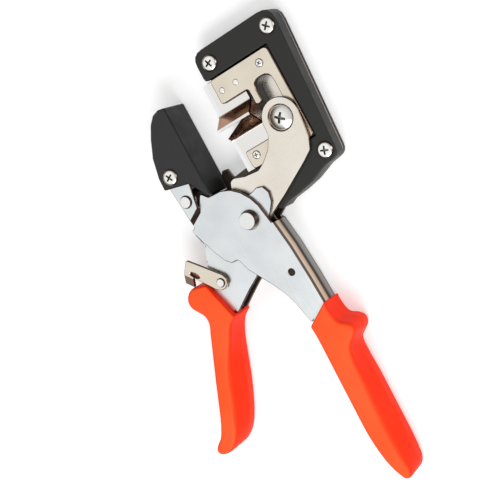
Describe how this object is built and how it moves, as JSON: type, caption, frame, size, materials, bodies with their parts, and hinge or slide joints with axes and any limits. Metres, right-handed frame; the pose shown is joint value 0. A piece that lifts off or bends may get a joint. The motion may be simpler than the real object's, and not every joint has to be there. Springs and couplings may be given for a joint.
{
  "type": "grafting shears",
  "caption": "Hand shears with a V shaped blade that slides sideways against an anvil when two angled orange grips are squeezed, for cutting notches in stems.",
  "frame": {"origin": "on the axis of the main pivot, level with the back face that lies on a surface", "axes": "+Z out of the face that carries the lever plate, +Y from the grips to the head, +X from the anvil to the housing"},
  "size_m": [0.1355, 0.2236, 0.0211],
  "materials": {
    "frame_sheet": "satin plated sheet",
    "rivet_steel": "bright turned heads",
    "grip": "smooth moulded orange red",
    "anvil_plastic": "fine grained black",
    "housing_plastic": "fine grained black",
    "carrier_plastic": "smooth black",
    "screw_zinc": "bright zinc",
    "inner_steel": "oiled dark steel",
    "nickel_plate": "polished warm nickel",
    "blade_steel": "polished steel with a ground edge"
  },
  "bodies": {
    "frame": {"frame_channel": "frame_sheet", "right_grip": "grip", "anvil": "anvil_plastic", "anvil_screw": "screw_zinc", "anvil_nut": "inner_steel", "strap_rivet": "rivet_steel", "strap_spacer": "inner_steel", "housing_front": "housing_plastic", "housing_back": "housing_plastic", "housing_screw_1": "screw_zinc", "housing_screw_2": "screw_zinc", "housing_screw_3": "screw_zinc", "housing_screw_4": "screw_zinc", "pivot_rivet": "rivet_steel", "pivot_bush": "inner_steel", "return_spring": "inner_steel"},
    "lever": {"lever_channel": "frame_sheet", "left_grip": "grip", "lever_plate": "nickel_plate", "lever_rivet": "rivet_steel", "drive_screw": "screw_zinc", "drive_sleeve": "inner_steel", "spring_pin": "inner_steel", "latch_rivet": "rivet_steel"},
    "slider": {"clamp_plate": "nickel_plate", "carrier": "carrier_plastic", "v_blade": "blade_steel", "clamp_rivet_1": "screw_zinc", "clamp_rivet_2": "screw_zinc", "clamp_screw_1": "screw_zinc", "clamp_screw_2": "screw_zinc"},
    "latch": {"latch": "nickel_plate"}
  },
  "joints": [
    {"name": "lever_hinge", "type": "hinge", "parent": "frame", "child": "lever", "pos_m": [0, 0, 0.009], "axis": [0, 0, 1], "range_deg": [0, 26], "stiffness_Nm_per_rad": 0.5, "springref_deg": -20.05, "deforming": ["return_spring"]},
    {"name": "slider_slide", "type": "slide", "parent": "frame", "child": "slider", "axis": [-1, 0, 0], "range_m": [0, 0.0181]},
    {"name": "latch_hinge", "type": "hinge", "parent": "lever", "child": "latch", "pos_m": [-0.02981, -0.01968, 0.0163], "axis": [0, 0, 1], "range_deg": [-36, 0]}
  ],
  "couplings": [
    {"joint": "slider_slide", "follows": "lever_hinge", "m_per_rad": 0.0398}
  ]
}
